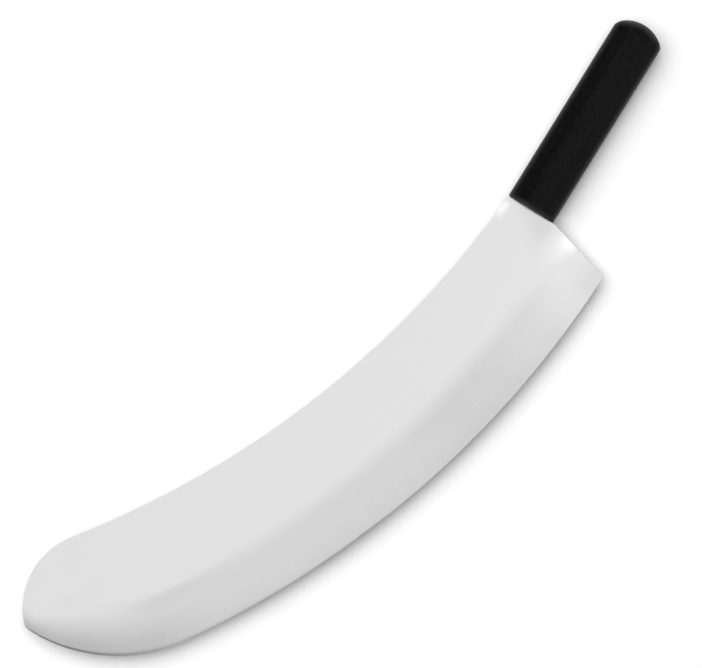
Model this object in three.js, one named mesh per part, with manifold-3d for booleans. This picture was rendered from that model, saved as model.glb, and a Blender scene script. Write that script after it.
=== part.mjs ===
// A one-handled curved mincing knife: a ground steel blade whose tang is locked in a moulded handle.
// Millimetres. +X runs along the handle from the blade to the butt, +Y points from the cutting edge to the
// spine, and +Z stands square on the blade. The origin is in the middle of the handle's lower broad flat.
import * as THREE from "three";
import { mergeVertices } from "three/addons/utils/BufferGeometryUtils.js";
import Module from "manifold-3d";

// Handle, a bar with two broad flats, sloping shoulders and round narrow sides, and a domed butt
const HANDLE_LENGTH = 140;
const HANDLE_WIDTH = 33.75;
const HANDLE_THICKNESS = 24;
const BROAD_FLAT_WIDTH = 13;
const NARROW_SIDE_RADIUS = 9;
const BUTT_CROWN = 7.6;
const BUTT_EASE_LENGTH = 13.6;
const BUTT_EASE_DROP = 3.8;

// Blade outline, measured from the handle's front end and from the handle's axis
const BLADE_THICKNESS = 3;
const BLADE_REACH = 401.8;
const EDGE_DEPTH = 63;
const EDGE_RADIUS = 643;
const BELLY_RADIUS = 104;
const SPINE_RADIUS = 625;
const SPINE_RISE = THREE.MathUtils.degToRad(3.6);
const TIP_RADIUS = 49.7;
const TIP_SETBACK = 35.8;
const TIP_CORNER_RADIUS = 5.5;
const NECK_SHOULDER = 1.8;
const HEEL_LEAN = THREE.MathUtils.degToRad(15.5);

// Thinning of the plate around the tip
const TIP_THICKNESS = 1.65;
const TIP_TAPER_LENGTH = 80;

// Grind, the taper that thins the plate from its flats down to the cutting edge
const EDGE_THICKNESS = 0.6;
const GRIND_WIDTH = 42;
const GRIND_WIDTH_AT_HEEL = 26;
const GRIND_WIDTH_AT_TIP = 14;
const GRIND_RUN_BEHIND_HEEL = 10;
const GRIND_RUN_FROM_HEEL = 60;

// Share of the grind after which it eases out into the flat: crisp at the heel, soft at the tip
const EASE_START = 0.62;
const EASE_START_AT_HEEL = 0.95;
const EASE_START_AT_TIP = 0.08;
const SOFTENING_BEFORE_BELLY = 90;
const SOFTENING_PAST_BELLY = 40;

// Tang, and the plastic that covers it
const TANG_SIDE_COVER = 6.8;
const TANG_END_COVER = 36;
const TANG_END_RADIUS = 5;
const TANG_HOLE_DIAMETER = 8;
const TANG_HOLE_COUNT = 3;
const TANG_CLEARANCE = 0.3;

// Facets
const CELLS_ALONG_BLADE = 56;
const CELLS_ON_HEEL = 8;
const CELLS_ON_NECK = 6;
const ARC_SEGMENTS = 16;
const CUT_MARGIN = 5;

const wasm = await Module();
wasm.setup();

// Outline of the blade, with the origin where the handle's axis meets its front end

const neckHalf = HANDLE_WIDTH / 2;
const neckTop = new THREE.Vector2(0, neckHalf);
const neckBottom = new THREE.Vector2(0, -neckHalf - NECK_SHOULDER);

// The edge is one arc that runs parallel to the handle below its front end.
const edgeCentre = new THREE.Vector2(0, EDGE_RADIUS - EDGE_DEPTH);

// The spine is one arc that leaves the handle's corner at a slight rise.
const spineCentre = new THREE.Vector2(
  SPINE_RADIUS * Math.sin(SPINE_RISE),
  neckHalf + SPINE_RADIUS * Math.cos(SPINE_RISE),
);

// The belly turns the edge up to the tip: it touches the edge's arc from inside.
const bellyX = BELLY_RADIUS - BLADE_REACH;
const bellyCentre = new THREE.Vector2(
  bellyX,
  edgeCentre.y - Math.sqrt((EDGE_RADIUS - BELLY_RADIUS) ** 2 - bellyX ** 2),
);

// The round top of the tip touches the spine's arc from outside.
const tipX = TIP_SETBACK - BLADE_REACH;
const tipCentre = new THREE.Vector2(
  tipX,
  spineCentre.y - Math.sqrt((SPINE_RADIUS + TIP_RADIUS) ** 2 - (tipX - spineCentre.x) ** 2),
);

// The corner between belly and tip is rounded by a small arc that touches both from inside.
const cornerCentre = circlesMeet(
  bellyCentre,
  BELLY_RADIUS - TIP_CORNER_RADIUS,
  tipCentre,
  TIP_RADIUS - TIP_CORNER_RADIUS,
);

// The heel runs straight from the shoulder just below the handle down to the edge.
const heelDirection = new THREE.Vector2(-Math.sin(HEEL_LEAN), -Math.cos(HEEL_LEAN));
const heelCorner = lineMeetsCircle(neckBottom, heelDirection, edgeCentre, EDGE_RADIUS);

// The point where two circles meet, on the side away from the handle.
function circlesMeet(centreA, radiusA, centreB, radiusB) {
  const apart = centreA.distanceTo(centreB);
  const along = (apart ** 2 + radiusA ** 2 - radiusB ** 2) / (2 * apart);
  const aside = Math.sqrt(radiusA ** 2 - along ** 2);
  const towards = centreB.clone().sub(centreA).divideScalar(apart);
  const square = new THREE.Vector2(-towards.y, towards.x);
  const foot = centreA.clone().addScaledVector(towards, along);
  const meetings = [aside, -aside].map((step) => foot.clone().addScaledVector(square, step));
  return meetings.sort((a, b) => a.x - b.x)[0];
}

// The point where a line from inside a circle leaves it.
function lineMeetsCircle(start, direction, centre, radius) {
  const offset = start.clone().sub(centre);
  const half = offset.dot(direction);
  const distance = -half + Math.sqrt(half ** 2 - offset.lengthSq() + radius ** 2);
  return start.clone().addScaledVector(direction, distance);
}

function angleFrom(centre, point) {
  return Math.atan2(point.y - centre.y, point.x - centre.x);
}

function arc(centre, radius, startAngle, endAngle, clockwise) {
  return new THREE.EllipseCurve(centre.x, centre.y, radius, radius, startAngle, endAngle, clockwise);
}

function joined(...curves) {
  const path = new THREE.CurvePath();
  curves.forEach((curve) => path.add(curve));
  return path;
}

// The four sides of the blade: edge and spine run from handle to tip, heel and tip from edge to spine.
const heelAngle = angleFrom(edgeCentre, heelCorner);
const bellyStart = angleFrom(edgeCentre, bellyCentre);
const bellyEnd = angleFrom(bellyCentre, cornerCentre);
const tipStart = angleFrom(tipCentre, cornerCentre);
const tipEnd = angleFrom(tipCentre, spineCentre);
const edgeSide = joined(
  arc(edgeCentre, EDGE_RADIUS, heelAngle, bellyStart, true),
  arc(bellyCentre, BELLY_RADIUS, bellyStart, bellyEnd, true),
);
const spineSide = joined(
  arc(spineCentre, SPINE_RADIUS, angleFrom(spineCentre, neckTop), angleFrom(spineCentre, tipCentre), true),
  arc(tipCentre, TIP_RADIUS, tipEnd, tipStart, false),
);
const tipSide = joined(arc(cornerCentre, TIP_CORNER_RADIUS, bellyEnd, tipStart, true));

const CELLS_ACROSS_BLADE = CELLS_ON_HEEL + CELLS_ON_NECK;
const heelShare = CELLS_ON_HEEL / CELLS_ACROSS_BLADE;

// The handle's end of the blade: up the heel, then straight up the neck.
function heelSide(across) {
  if (across <= heelShare) {
    return heelCorner.clone().lerp(neckBottom, across / heelShare);
  }
  return neckBottom.clone().lerp(neckTop, (across - heelShare) / (1 - heelShare));
}

// A point of the blade's plan, spread smoothly between its four sides.
function bladePlan(along, across) {
  const edge = edgeSide.getPoint(along);
  const spine = spineSide.getPoint(along);
  const heel = heelSide(across);
  const tip = tipSide.getPoint(across);
  const edgeToSpine = edge.lerp(spine, across);
  const heelToTip = heel.lerp(tip, along);
  const nearCorners = heelCorner.clone().lerp(edgeSide.getPoint(1), along);
  const farCorners = neckTop.clone().lerp(spineSide.getPoint(1), along);
  return edgeToSpine.add(heelToTip).sub(nearCorners.lerp(farCorners, across));
}

function isBesideBelly(point) {
  const outward = bellyCentre.clone().sub(edgeCentre);
  return outward.cross(point.clone().sub(edgeCentre)) < 0;
}

function distanceFromEdge(point) {
  if (isBesideBelly(point)) {
    return BELLY_RADIUS - point.distanceTo(bellyCentre);
  }
  return EDGE_RADIUS - point.distanceTo(edgeCentre);
}

// How far a point lies round the belly, from the place where the belly leaves the edge's arc.
function bellyTurn(angle) {
  return THREE.MathUtils.euclideanModulo(bellyStart - angle, 2 * Math.PI);
}

// Length along the edge from the belly's start to the place nearest to a point, negative towards the heel.
function runPastBelly(point) {
  if (isBesideBelly(point)) {
    return bellyTurn(angleFrom(bellyCentre, point)) * BELLY_RADIUS;
  }
  return (bellyStart - angleFrom(edgeCentre, point)) * EDGE_RADIUS;
}

// 0 at the heel, 1 from the place on where the grind has its full width.
function awayFromHeel(point) {
  const run = runPastBelly(point) + (heelAngle - bellyStart) * EDGE_RADIUS;
  return THREE.MathUtils.smoothstep(run, -GRIND_RUN_BEHIND_HEEL, GRIND_RUN_FROM_HEEL);
}

// Width of the grind: full in the middle of the edge, narrower at the heel and at the tip.
function grindWidth(point) {
  if (isBesideBelly(point)) {
    const share = Math.min(bellyTurn(angleFrom(bellyCentre, point)) / bellyTurn(bellyEnd), 1);
    return THREE.MathUtils.lerp(GRIND_WIDTH, GRIND_WIDTH_AT_TIP, share ** 2);
  }
  return THREE.MathUtils.lerp(GRIND_WIDTH_AT_HEEL, GRIND_WIDTH, awayFromHeel(point));
}

function grindEaseStart(point) {
  const beforeTip = THREE.MathUtils.lerp(EASE_START_AT_HEEL, EASE_START, awayFromHeel(point));
  const nearTip = THREE.MathUtils.smoothstep(runPastBelly(point), -SOFTENING_BEFORE_BELLY, SOFTENING_PAST_BELLY);
  return THREE.MathUtils.lerp(beforeTip, EASE_START_AT_TIP, nearTip);
}

// Rise of the ground face from the edge, 0, to the flat, 1: one slope at first, then easing out.
function grindRise(point) {
  const easeStart = grindEaseStart(point);
  const share = THREE.MathUtils.clamp(distanceFromEdge(point) / grindWidth(point), 0, 1);
  const eased = Math.max(share - easeStart, 0) ** 2 / (2 * (1 - easeStart));
  return (2 / (1 + easeStart)) * (share - eased);
}

function bladeHalfThickness(point) {
  const fromTip = THREE.MathUtils.smoothstep(point.distanceTo(cornerCentre), 0, TIP_TAPER_LENGTH);
  const plate = THREE.MathUtils.lerp(TIP_THICKNESS, BLADE_THICKNESS, fromTip);
  return THREE.MathUtils.lerp(EDGE_THICKNESS, plate, grindRise(point)) / 2;
}

// The blade without its tang: a grid of cells laid out over the plan, on both faces of the plate.
function bladePlate() {
  const plate = new THREE.BoxGeometry(1, 1, 1, CELLS_ALONG_BLADE, CELLS_ACROSS_BLADE, 1);
  const corners = plate.attributes.position;
  for (let i = 0; i < corners.count; i += 1) {
    const point = bladePlan(0.5 - corners.getX(i), corners.getY(i) + 0.5);
    const height = 2 * corners.getZ(i) * bladeHalfThickness(point);
    corners.setXYZ(i, point.x, point.y, height);
  }
  return plate;
}

// Tang, grown by a clearance when it is the slot in the handle

const tangLength = HANDLE_LENGTH - TANG_END_COVER;
const tangHalf = HANDLE_WIDTH / 2 - TANG_SIDE_COVER;

// The holes share the tang's length evenly.
function tangHolePlaces() {
  const pitch = tangLength / TANG_HOLE_COUNT;
  return Array.from({ length: TANG_HOLE_COUNT }, (_, i) => (i + 0.5) * pitch);
}

// A flat bar with a round-cornered end and round holes, reaching back past the handle's front end.
function tangBar(clearance) {
  const half = tangHalf + clearance;
  const end = tangLength + clearance;
  const round = Math.min(TANG_END_RADIUS, tangHalf) + clearance;
  const bar = new THREE.Shape();
  bar.moveTo(-CUT_MARGIN, -half);
  bar.lineTo(end - round, -half);
  bar.absarc(end - round, round - half, round, -Math.PI / 2, 0, false);
  bar.absarc(end - round, half - round, round, 0, Math.PI / 2, false);
  bar.lineTo(-CUT_MARGIN, half);
  tangHolePlaces().forEach((place) => {
    const hole = new THREE.Path();
    hole.absarc(place, 0, TANG_HOLE_DIAMETER / 2 - clearance, 0, 2 * Math.PI, true);
    bar.holes.push(hole);
  });
  const thickness = BLADE_THICKNESS + 2 * clearance;
  return extruded(bar, thickness).translate(0, 0, -thickness / 2);
}

function extruded(shape, depth) {
  return new THREE.ExtrudeGeometry(shape, { depth, bevelEnabled: false, curveSegments: ARC_SEGMENTS });
}

// Handle, the shape that its section, its plan and its side view have in common

// Angle above the plan at which a shoulder, straight from the broad flat's corner, touches the side's round.
function shoulderAngle(round) {
  const aside = BROAD_FLAT_WIDTH / 2 - (HANDLE_WIDTH / 2 - round);
  const above = HANDLE_THICKNESS / 2;
  return Math.atan2(above, aside) - Math.acos(round / Math.hypot(aside, above));
}

function handleSection() {
  const halfThickness = HANDLE_THICKNESS / 2;
  const halfBroad = BROAD_FLAT_WIDTH / 2;
  const round = Math.min(NARROW_SIDE_RADIUS, halfThickness);
  const roundCentre = HANDLE_WIDTH / 2 - round;
  const touch = shoulderAngle(round);
  const section = new THREE.Shape();
  section.moveTo(-halfBroad, -halfThickness);
  section.lineTo(halfBroad, -halfThickness);
  section.absarc(roundCentre, 0, round, -touch, touch, false);
  section.lineTo(halfBroad, halfThickness);
  section.lineTo(-halfBroad, halfThickness);
  section.absarc(-roundCentre, 0, round, Math.PI - touch, Math.PI + touch, false);
  const length = HANDLE_LENGTH - TANG_CLEARANCE;
  return extruded(section, length).rotateX(Math.PI / 2).rotateZ(Math.PI / 2).translate(TANG_CLEARANCE, 0, 0);
}

// Radius of the arc that rises by a height over half its chord.
function arcRadius(halfChord, height) {
  return (halfChord ** 2 + height ** 2) / (2 * height);
}

// Seen from above, the butt is an arc from one side of the handle to the other.
function handlePlan() {
  const halfWidth = HANDLE_WIDTH / 2;
  const radius = arcRadius(halfWidth, BUTT_CROWN);
  const spread = Math.asin(halfWidth / radius);
  const corner = HANDLE_LENGTH - BUTT_CROWN;
  const plan = new THREE.Shape();
  plan.moveTo(-CUT_MARGIN, -halfWidth - CUT_MARGIN);
  plan.lineTo(corner, -halfWidth - CUT_MARGIN);
  plan.lineTo(corner, -halfWidth);
  plan.absarc(HANDLE_LENGTH - radius, 0, radius, -spread, spread, false);
  plan.lineTo(corner, halfWidth + CUT_MARGIN);
  plan.lineTo(-CUT_MARGIN, halfWidth + CUT_MARGIN);
  const height = HANDLE_THICKNESS + 2 * CUT_MARGIN;
  return extruded(plan, height).translate(0, 0, -height / 2);
}

// Seen from the side, both broad faces ease towards each other at the butt.
function handleProfile() {
  const halfThickness = HANDLE_THICKNESS / 2;
  const radius = arcRadius(BUTT_EASE_LENGTH, BUTT_EASE_DROP);
  const easeStart = HANDLE_LENGTH - BUTT_EASE_LENGTH;
  const easeTurn = Math.asin(BUTT_EASE_LENGTH / radius);
  const upright = Math.PI / 2;
  const top = halfThickness + CUT_MARGIN;
  const profile = new THREE.Shape();
  profile.moveTo(easeStart, -halfThickness);
  profile.absarc(easeStart, radius - halfThickness, radius, -upright, easeTurn - upright, false);
  profile.lineTo(HANDLE_LENGTH + CUT_MARGIN, BUTT_EASE_DROP - halfThickness);
  profile.lineTo(HANDLE_LENGTH + CUT_MARGIN, halfThickness - BUTT_EASE_DROP);
  profile.lineTo(HANDLE_LENGTH, halfThickness - BUTT_EASE_DROP);
  profile.absarc(easeStart, halfThickness - radius, radius, upright - easeTurn, upright, false);
  profile.lineTo(easeStart, top);
  profile.lineTo(-CUT_MARGIN, top);
  profile.lineTo(-CUT_MARGIN, -top);
  profile.lineTo(easeStart, -top);
  const width = HANDLE_WIDTH + 2 * CUT_MARGIN;
  return extruded(profile, width).rotateX(Math.PI / 2).translate(0, width / 2, 0);
}

// Closed geometry to a solid that can be joined and cut, and back

function toSolid(geometry) {
  geometry.deleteAttribute("normal");
  geometry.deleteAttribute("uv");
  const merged = mergeVertices(geometry);
  const vertProperties = Float32Array.from(merged.attributes.position.array);
  const triVerts = Uint32Array.from(merged.index.array);
  return new wasm.Manifold(new wasm.Mesh({ numProp: 3, vertProperties, triVerts }));
}

function toGeometry(solid) {
  const { vertProperties, triVerts } = solid.getMesh();
  const geometry = new THREE.BufferGeometry();
  geometry.setAttribute("position", new THREE.BufferAttribute(vertProperties, 3));
  geometry.setIndex(new THREE.BufferAttribute(triVerts, 1));
  return geometry;
}

function piece(name, solid, material) {
  const mesh = new THREE.Mesh(toGeometry(solid), new THREE.MeshStandardMaterial(material));
  mesh.name = name;
  return mesh;
}

const blade = toSolid(bladePlate()).add(toSolid(tangBar(0)));
const grip = toSolid(handleSection()).intersect(toSolid(handlePlan())).intersect(toSolid(handleProfile()));
const handle = grip.subtract(toSolid(tangBar(TANG_CLEARANCE)));

const knife = new THREE.Group();
knife.position.set(-HANDLE_LENGTH / 2, 0, HANDLE_THICKNESS / 2);
knife.add(piece("blade", blade, { color: 0xdcdcda, roughness: 0.3, metalness: 1, flatShading: true }));
knife.add(piece("handle", handle, { color: 0x161617, roughness: 0.55, metalness: 0, flatShading: true }));

export default knife;
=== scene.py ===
"""Looks of a one-handled curved mincing knife: a satin ground blade and a black moulded handle.

The knife lies on its side on a white table and is seen from straight above. Lengths are in metres, in
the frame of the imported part: +X runs along the handle from the blade to the butt, +Y runs from the
cutting edge to the spine, and +Z is up.
"""

import math

import bmesh
import bpy
from mathutils import Matrix, Vector


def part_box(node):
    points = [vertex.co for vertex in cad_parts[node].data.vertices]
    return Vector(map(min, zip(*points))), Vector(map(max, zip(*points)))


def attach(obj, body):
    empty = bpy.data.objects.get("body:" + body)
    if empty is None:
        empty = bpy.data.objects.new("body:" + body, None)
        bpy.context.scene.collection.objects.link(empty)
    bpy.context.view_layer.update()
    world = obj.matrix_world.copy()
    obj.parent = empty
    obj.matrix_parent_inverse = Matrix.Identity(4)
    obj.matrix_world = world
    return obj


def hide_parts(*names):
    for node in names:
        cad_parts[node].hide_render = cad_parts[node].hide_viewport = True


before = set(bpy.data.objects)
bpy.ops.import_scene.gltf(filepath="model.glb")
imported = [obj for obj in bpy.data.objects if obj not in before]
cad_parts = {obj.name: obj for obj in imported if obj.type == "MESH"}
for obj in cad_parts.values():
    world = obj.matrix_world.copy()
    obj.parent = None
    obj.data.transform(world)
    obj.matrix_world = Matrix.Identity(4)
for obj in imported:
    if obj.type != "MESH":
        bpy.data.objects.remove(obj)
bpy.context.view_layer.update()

MM = 0.001
DEGREE = math.radians(1)

# Places and sizes that the frame gives, and the clearance that the handle keeps to the blade
HANDLE_LOW, HANDLE_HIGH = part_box("handle")
BLADE_LOW, BLADE_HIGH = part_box("blade")
FIT_GAP = 0.3 * MM
NECK_X = HANDLE_LOW.x - FIT_GAP
MIDDLE_Z = (HANDLE_LOW.z + HANDLE_HIGH.z) / 2
HALF_WIDTH = (HANDLE_HIGH.y - HANDLE_LOW.y) / 2
HALF_GRIP = (HANDLE_HIGH.z - HANDLE_LOW.z) / 2
HALF_PLATE = (BLADE_HIGH.z - BLADE_LOW.z) / 2
HANDLE_LENGTH = HANDLE_HIGH.x - NECK_X
BLADE_REACH = NECK_X - BLADE_LOW.x
TANG_LENGTH = BLADE_HIGH.x - NECK_X

# Blade outline, measured from the handle's front end and from the handle's axis
EDGE_DEPTH = 63 * MM
EDGE_RADIUS = 643 * MM
BELLY_RADIUS = 104 * MM
SPINE_RADIUS = 625 * MM
SPINE_RISE = 3.6 * DEGREE
TIP_RADIUS = 49.7 * MM
TIP_SETBACK = 35.8 * MM
TIP_CORNER_RADIUS = 5.5 * MM
NECK_SHOULDER = 1.8 * MM
HEEL_LEAN = 15.5 * DEGREE

# Thinning of the plate around the tip
TIP_HALF_PLATE = 0.825 * MM
TIP_TAPER_LENGTH = 80 * MM

# Grind, the taper that thins the plate from its flats down to the honed edge
HALF_EDGE = 0.3 * MM
HALF_EDGE_AT_TIP = 0.145 * MM
EDGE_THINS_BEFORE_BELLY = 60 * MM
EDGE_THINS_PAST_BELLY = 150 * MM
GRIND_WIDTH = 42 * MM
GRIND_WIDTH_AT_HEEL = 26 * MM
GRIND_WIDTH_AT_TIP = 14 * MM
GRIND_RUN_BEHIND_HEEL = 10 * MM
GRIND_RUN_FROM_HEEL = 60 * MM

# Honed edge, hardly to be seen near the heel and broad on the belly
HONE_WIDTH_AT_HEEL = 0.3 * MM
HONE_WIDTH_ON_BELLY = 1.9 * MM
HONE_WIDENS_FROM = 90 * MM
HONE_WIDENS_PAST_BELLY = 70 * MM

# Share of the grind after which it eases out into the flat: crisp at the heel, soft at the tip
EASE_START = 0.62
EASE_START_AT_HEEL = 0.95
EASE_START_AT_TIP = 0.08
SOFTENING_BEFORE_BELLY = 90 * MM
SOFTENING_PAST_BELLY = 40 * MM

# Set of the plate, which bends down a little towards the heel
HEEL_SET_DROP = 1.2 * MM
HEEL_SET_REACH = 23.5 * MM
HEEL_SET_START = 2 * MM
HEEL_SET_END = 22 * MM

# Painted highlight, a bright patch of the plate at the spine close to the handle
SPINE_HIGHLIGHT_WIDTH = 5.5 * MM
SPINE_HIGHLIGHT_FULL_WIDTH = 2 * MM
SPINE_HIGHLIGHT_STARTS = 1 * MM
SPINE_HIGHLIGHT_FULL_FROM = 6 * MM
SPINE_HIGHLIGHT_FULL_UNTIL = 10 * MM
SPINE_HIGHLIGHT_ENDS = 18 * MM

# Broken corners of the plate, between its broad faces and the walls that are steeper than the slope
PLATE_CORNER = 0.3 * MM
PLATE_CORNER_STEPS = 2
THINNEST_BROKEN_CORNER = 0.9 * MM
WALL_SLOPE = 60 * DEGREE

# Distance within which points are welded, and angle below which faces are shaded as one
WELD_DISTANCE = 0.003 * MM
SOFT_ANGLE = 20 * DEGREE

# Tang
TANG_SIDE_COVER = 6.8 * MM
TANG_HALF = HALF_WIDTH - TANG_SIDE_COVER
TANG_END_RADIUS = 5 * MM
TANG_HOLE_RADIUS = 4 * MM
TANG_HOLE_COUNT = 3
HOLE_PITCH = TANG_LENGTH / TANG_HOLE_COUNT

# Cells of the plate
CELLS_ALONG = 340
ROWS_ON_HEEL = 48
ROWS_ON_COVER = 5
ROWS_ON_TANG = 8
ROWS_ACROSS = ROWS_ON_HEEL + 2 * ROWS_ON_COVER + ROWS_ON_TANG
CELLS_PER_HOLE = 16
TANG_CELL_LENGTH = HOLE_PITCH / CELLS_PER_HOLE
TANG_CELL_WIDTH = 2 * TANG_HALF / ROWS_ON_TANG

# Cells that a hole takes out of the tang on each side of its middle, with a little to spare
HOLE_CELLS = 2.25

# Handle section, and how its edges soften towards the blade
HALF_FLAT = 6.5 * MM
SIDE_RADIUS = 9 * MM
CRISP_EDGE_RADIUS = 0.9 * MM
SOFT_EDGE_RADIUS = 15 * MM
SOFT_UNTIL = 40 * MM
CRISP_FROM = 96 * MM
PARTING_RIDGE = 0.1 * MM

# Least rounding of the handle's edges, and the share of its flat that a rounding takes at most
LEAST_EDGE_RADIUS = 0.2 * MM
MOST_FLAT_ROUNDED = 0.95

# Handle ends
BUTT_CROWN = 7.6 * MM
BUTT_EASE_LENGTH = 13.6 * MM
BUTT_EASE_DROP = 3.8 * MM
BUTT_RIM_RADIUS = 2.4 * MM
BUTT_CORNER_RADIUS = 0.8 * MM
BUTT_BULGE_RADIUS = 45 * MM
FRONT_RIM_RADIUS = 1.6 * MM

# Places of the handle with wear and a painted highlight
WEAR_AND_HIGHLIGHT_FRONT = 2.6 * MM
WEAR_AND_HIGHLIGHT_BUTT = 4 * MM
WEAR_AND_HIGHLIGHT_SIDE = 4 * MM
WEAR_AND_HIGHLIGHT_SIDE_SHARE = 0.2

# Points around a quarter of the handle's section, and rings along it
POINTS_ON_FLAT = 5
POINTS_ON_EDGE = 8
POINTS_ON_SHOULDER = 7
POINTS_ON_SIDE = 12
BODY_RINGS = 64
RIM_RINGS = 7
CAP_RINGS = 8
KEY_SIDES = 24

# Rounds in which a ring is fitted to the domed butt
BUTT_FIT_ROUNDS = 3

# Range in which most of a noise lies, a narrower one for bolder patches, and the middle of both
NOISE_RANGE = (0.3, 0.7)
PATCHY_RANGE = (0.35, 0.65)
NOISE_MIDDLE = 0.5

# Steps of finer noise in each pattern, and how much a step keeps of the strength of the one before it
GRAIN_STEPS = 2.0
MOTTLE_STEPS = 3.0
CLOUD_STEPS = 4.0
LINE_STEPS = 4.0
SOFT_NOISE = 0.55
CRISP_NOISE = 0.6

# Brush lines on the flats of the steel and wheel lines on its grind
BRUSH_LINE_LENGTH = 60 * MM
BRUSH_LINE_WIDTH = 0.25 * MM
GRIND_LINE_LENGTH = 20 * MM
GRIND_LINE_WIDTH = 0.35 * MM
STEEL_LINE_DEPTH = 0.02 * MM
STEEL_LINE_STRENGTH = 0.15

# How far the steel is ground where its wheel lines start and are full, and where the flat's clouds end
GRIND_LINES_START = 0.68
GRIND_LINES_FULL = 0.95
FLAT_CLOUDS_END = 0.3

# Steel: the range of each finish, and the tone of the painted highlight at the spine
FLAT_ROUGHNESS = (0.155, 0.18)
FLAT_TONE = (0.758, 0.774)
GRIND_ROUGHNESS = (0.25, 0.268)
GRIND_TONE = (0.592, 0.6327)
SPINE_HIGHLIGHT_TONE = 0.96
STEEL_CLOUDS_PER_METRE = 55.0

# Painted shade and highlight along the grind: where each stretch starts, is full, and its tone gain from
# there on
GRIND_PAINTED_LIGHT_ALONG_EDGE = [
    (0 * MM, 24 * MM, 1.1243),
    (30 * MM, 50 * MM, 0.957),
    (55 * MM, 95 * MM, 0.95),
    (120 * MM, 190 * MM, 1.06),
    (200 * MM, 300 * MM, 1.04),
    (335 * MM, 390 * MM, 0.885),
    (435 * MM, 460 * MM, 1.115),
    (459 * MM, 476 * MM, 1.22),
]

# Painted shade of the grind along the cutting edge
GRIND_EDGE_PAINTED_SHADE = 0.955
GRIND_EDGE_SHADE_REACH = 14 * MM

# Painted shade and highlight at the heel's grind: darker at the edge, brighter towards the flat, fading
# along the edge
HEEL_PAINTED_SHADE_AND_HIGHLIGHT = (0.965, 1.09)
HEEL_PAINTED_LIGHT_DEPTHS = (4 * MM, 29 * MM)
HEEL_PAINTED_LIGHT_FADES = (8 * MM, 30 * MM)

# Painted shade where grind meets flat, before the belly: where it starts, is full from, is full until and
# ends
GRIND_BORDER_PAINTED_SHADE = 0.905
GRIND_BORDER_SHADE_DEPTHS = (20 * MM, 31 * MM, 32.5 * MM, 36.5 * MM)
GRIND_BORDER_SHADE_RUNS = (290 * MM, 355 * MM, 365 * MM, 420 * MM)

# Painted shade on the flat before the handle, measured across the blade from the handle's axis: where it
# starts on the heel's side, where its reach from the handle narrows, and where it fades towards the spine
HANDLE_PAINTED_SHADE = 0.89
HANDLE_SHADE_STARTS = (-21 * MM, -14.5 * MM)
HANDLE_SHADE_NARROWS = (-17 * MM, 12 * MM)
HANDLE_SHADE_REACH = (26 * MM, 10 * MM)
HANDLE_SHADE_FADES = (-12 * MM, 16 * MM)
HANDLE_SHADE_SHARE_AT_SPINE = 0.25

# Plastic: its ranges, its finish where wear and a painted highlight lie, and how patchy they are
PLASTIC_TONE = (0.0006, 0.0034)
PLASTIC_ROUGHNESS = (0.34, 0.44)
PLASTIC_SHINE = 0.095
WEAR_AND_HIGHLIGHT_TONE = 0.050
WORN_ROUGHNESS = 0.40
WEAR_AND_HIGHLIGHT_PATCHES = (0.5, 1.0)
GRAINS_PER_METRE = 2600.0
MOTTLES_PER_METRE = 520.0
PLASTIC_CLOUDS_PER_METRE = 70.0
GRAIN_DEPTH = 0.04 * MM
GRAIN_STRENGTH = 0.3

# Picture, with its middle measured from the handle's front end and from the handle's axis
PHOTO_TURN = -58.25 * DEGREE
PHOTO_WIDTH = 453.95 * MM
PHOTO_BEFORE_HANDLE = 129.37 * MM
PHOTO_BESIDE_AXIS = 56.45 * MM
CAMERA_DISTANCE = 2.2
SENSOR_WIDTH = 36.0

# Table and lamp. A bearing is in the picture, 0 to its right and a quarter turn to its top.
TABLE_HALF = 10.0
TABLE_TONE = 0.95
LAMP_BEARING = 126 * DEGREE
LAMP_LEAN = 20.5 * DEGREE
LAMP_SPREAD = 75 * DEGREE
LAMP_STRENGTH = 3.455

# Even light of the room, and the white that the camera sees
FILL_STRENGTH = 0.04
BACKDROP_STRENGTH = 1.0

# What the steel mirrors. Each pair of angles is measured from the middle of a light: where a change
# begins, and where it is full. Each pair of lights is what it changes from and to.
CEILING_LIGHT = 1.0
CEILING_ANGLES = (52.3 * DEGREE, 16.8 * DEGREE)
WALL_LIGHT = (0.115, 0.303)
WALL_BEARING = 16.7 * DEGREE
WALL_ANGLES = (95.5 * DEGREE, 61.39 * DEGREE)
DARK_SIDE_SHARE = 0.289
DARK_SIDE_BEARING = 222.45 * DEGREE
DARK_SIDE_ANGLES = (75.23 * DEGREE, 72.54 * DEGREE)
WINDOW_LIGHT = 0.94
WINDOW_BEARING = -2.86 * DEGREE
WINDOW_LEAN = 25 * DEGREE
WINDOW_ANGLES = (16.4 * DEGREE, 6 * DEGREE)
CARD_LIGHT = 0.6
CARD_BEARING = -19.89 * DEGREE
CARD_ANGLES = (55.93 * DEGREE, 45.55 * DEGREE)
LOW_WALL_LIGHT = (0.70, 0.34)
LOW_WALL_ANGLES = (36.87 * DEGREE, 14.07 * DEGREE)
LOW_WALL_PANELS = 10.0
PANEL_LIGHT = (0.6, 1.4)
HORIZON_ANGLES = (58 * DEGREE, 41 * DEGREE)


# Outline of the blade, with the origin where the handle's axis meets its front end


def polar(centre, radius, angle):
    return centre + Vector((math.cos(angle), math.sin(angle))) * radius


def heading(start, end):
    return math.atan2(end.y - start.y, end.x - start.x)


def turned_back(angle, latest):
    """The same heading, taken back by whole turns until it isn't past the latest."""
    return latest - (latest - angle) % (2 * math.pi)


def blend(start, end, share):
    return start + (end - start) * share


def smooth_share(value, start, end):
    """0 before start, 1 after end and a smooth rise between them."""
    share = min(max((value - start) / (end - start), 0), 1)
    return share * share * (3 - 2 * share)


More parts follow.
